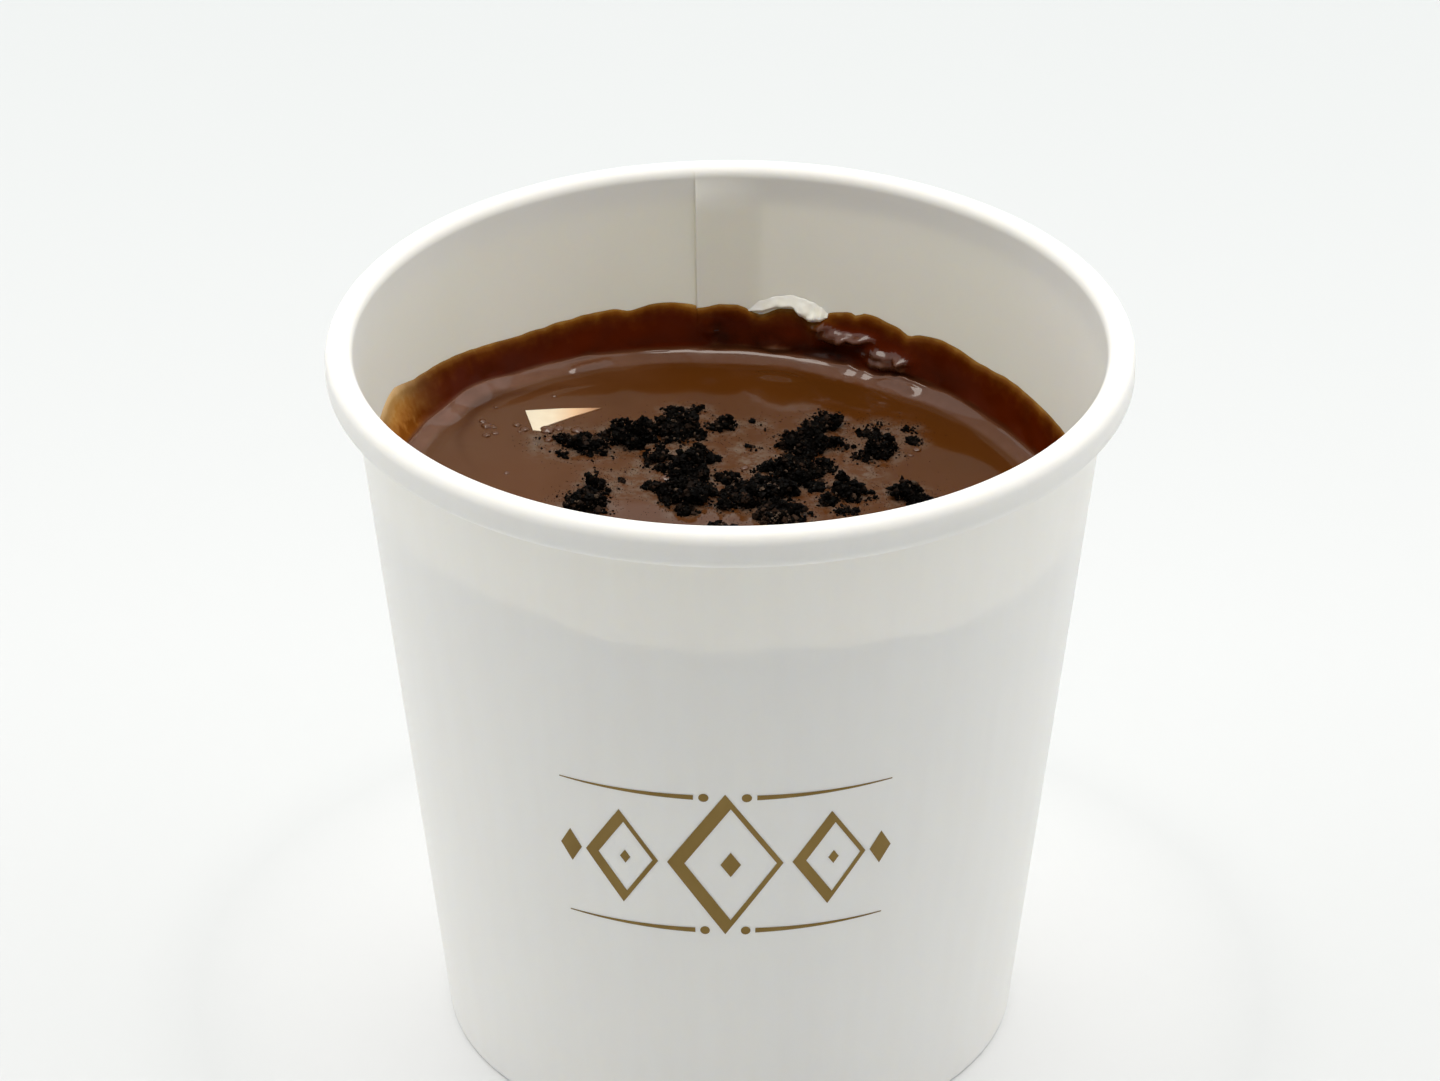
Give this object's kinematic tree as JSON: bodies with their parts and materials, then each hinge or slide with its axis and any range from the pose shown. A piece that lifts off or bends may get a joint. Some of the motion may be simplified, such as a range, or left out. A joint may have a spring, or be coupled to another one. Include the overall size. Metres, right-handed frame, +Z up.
{
  "type": "cup of chocolate pudding",
  "caption": "Tapered paper cup with a curled rim and a raised bottom, filled with glossy chocolate pudding with dark cookie crumbs on top.",
  "frame": {"origin": "centre of the cup's foot, on the surface that it stands on", "axes": "+Z up along the cup's axis; +Y towards the back, where the seam is; -Y towards the printed front; +X to the right seen from the front"},
  "size_m": [0.0898, 0.09, 0.0855],
  "materials": {
    "cup_paper": "smooth coated white paper",
    "pudding": "wet glossy chocolate, with matt near-black crumbs on it"
  },
  "bodies": {
    "root": {"cup_sidewall": "cup_paper", "cup_bottom": "cup_paper", "pudding": "pudding"}
  },
  "joints": []
}
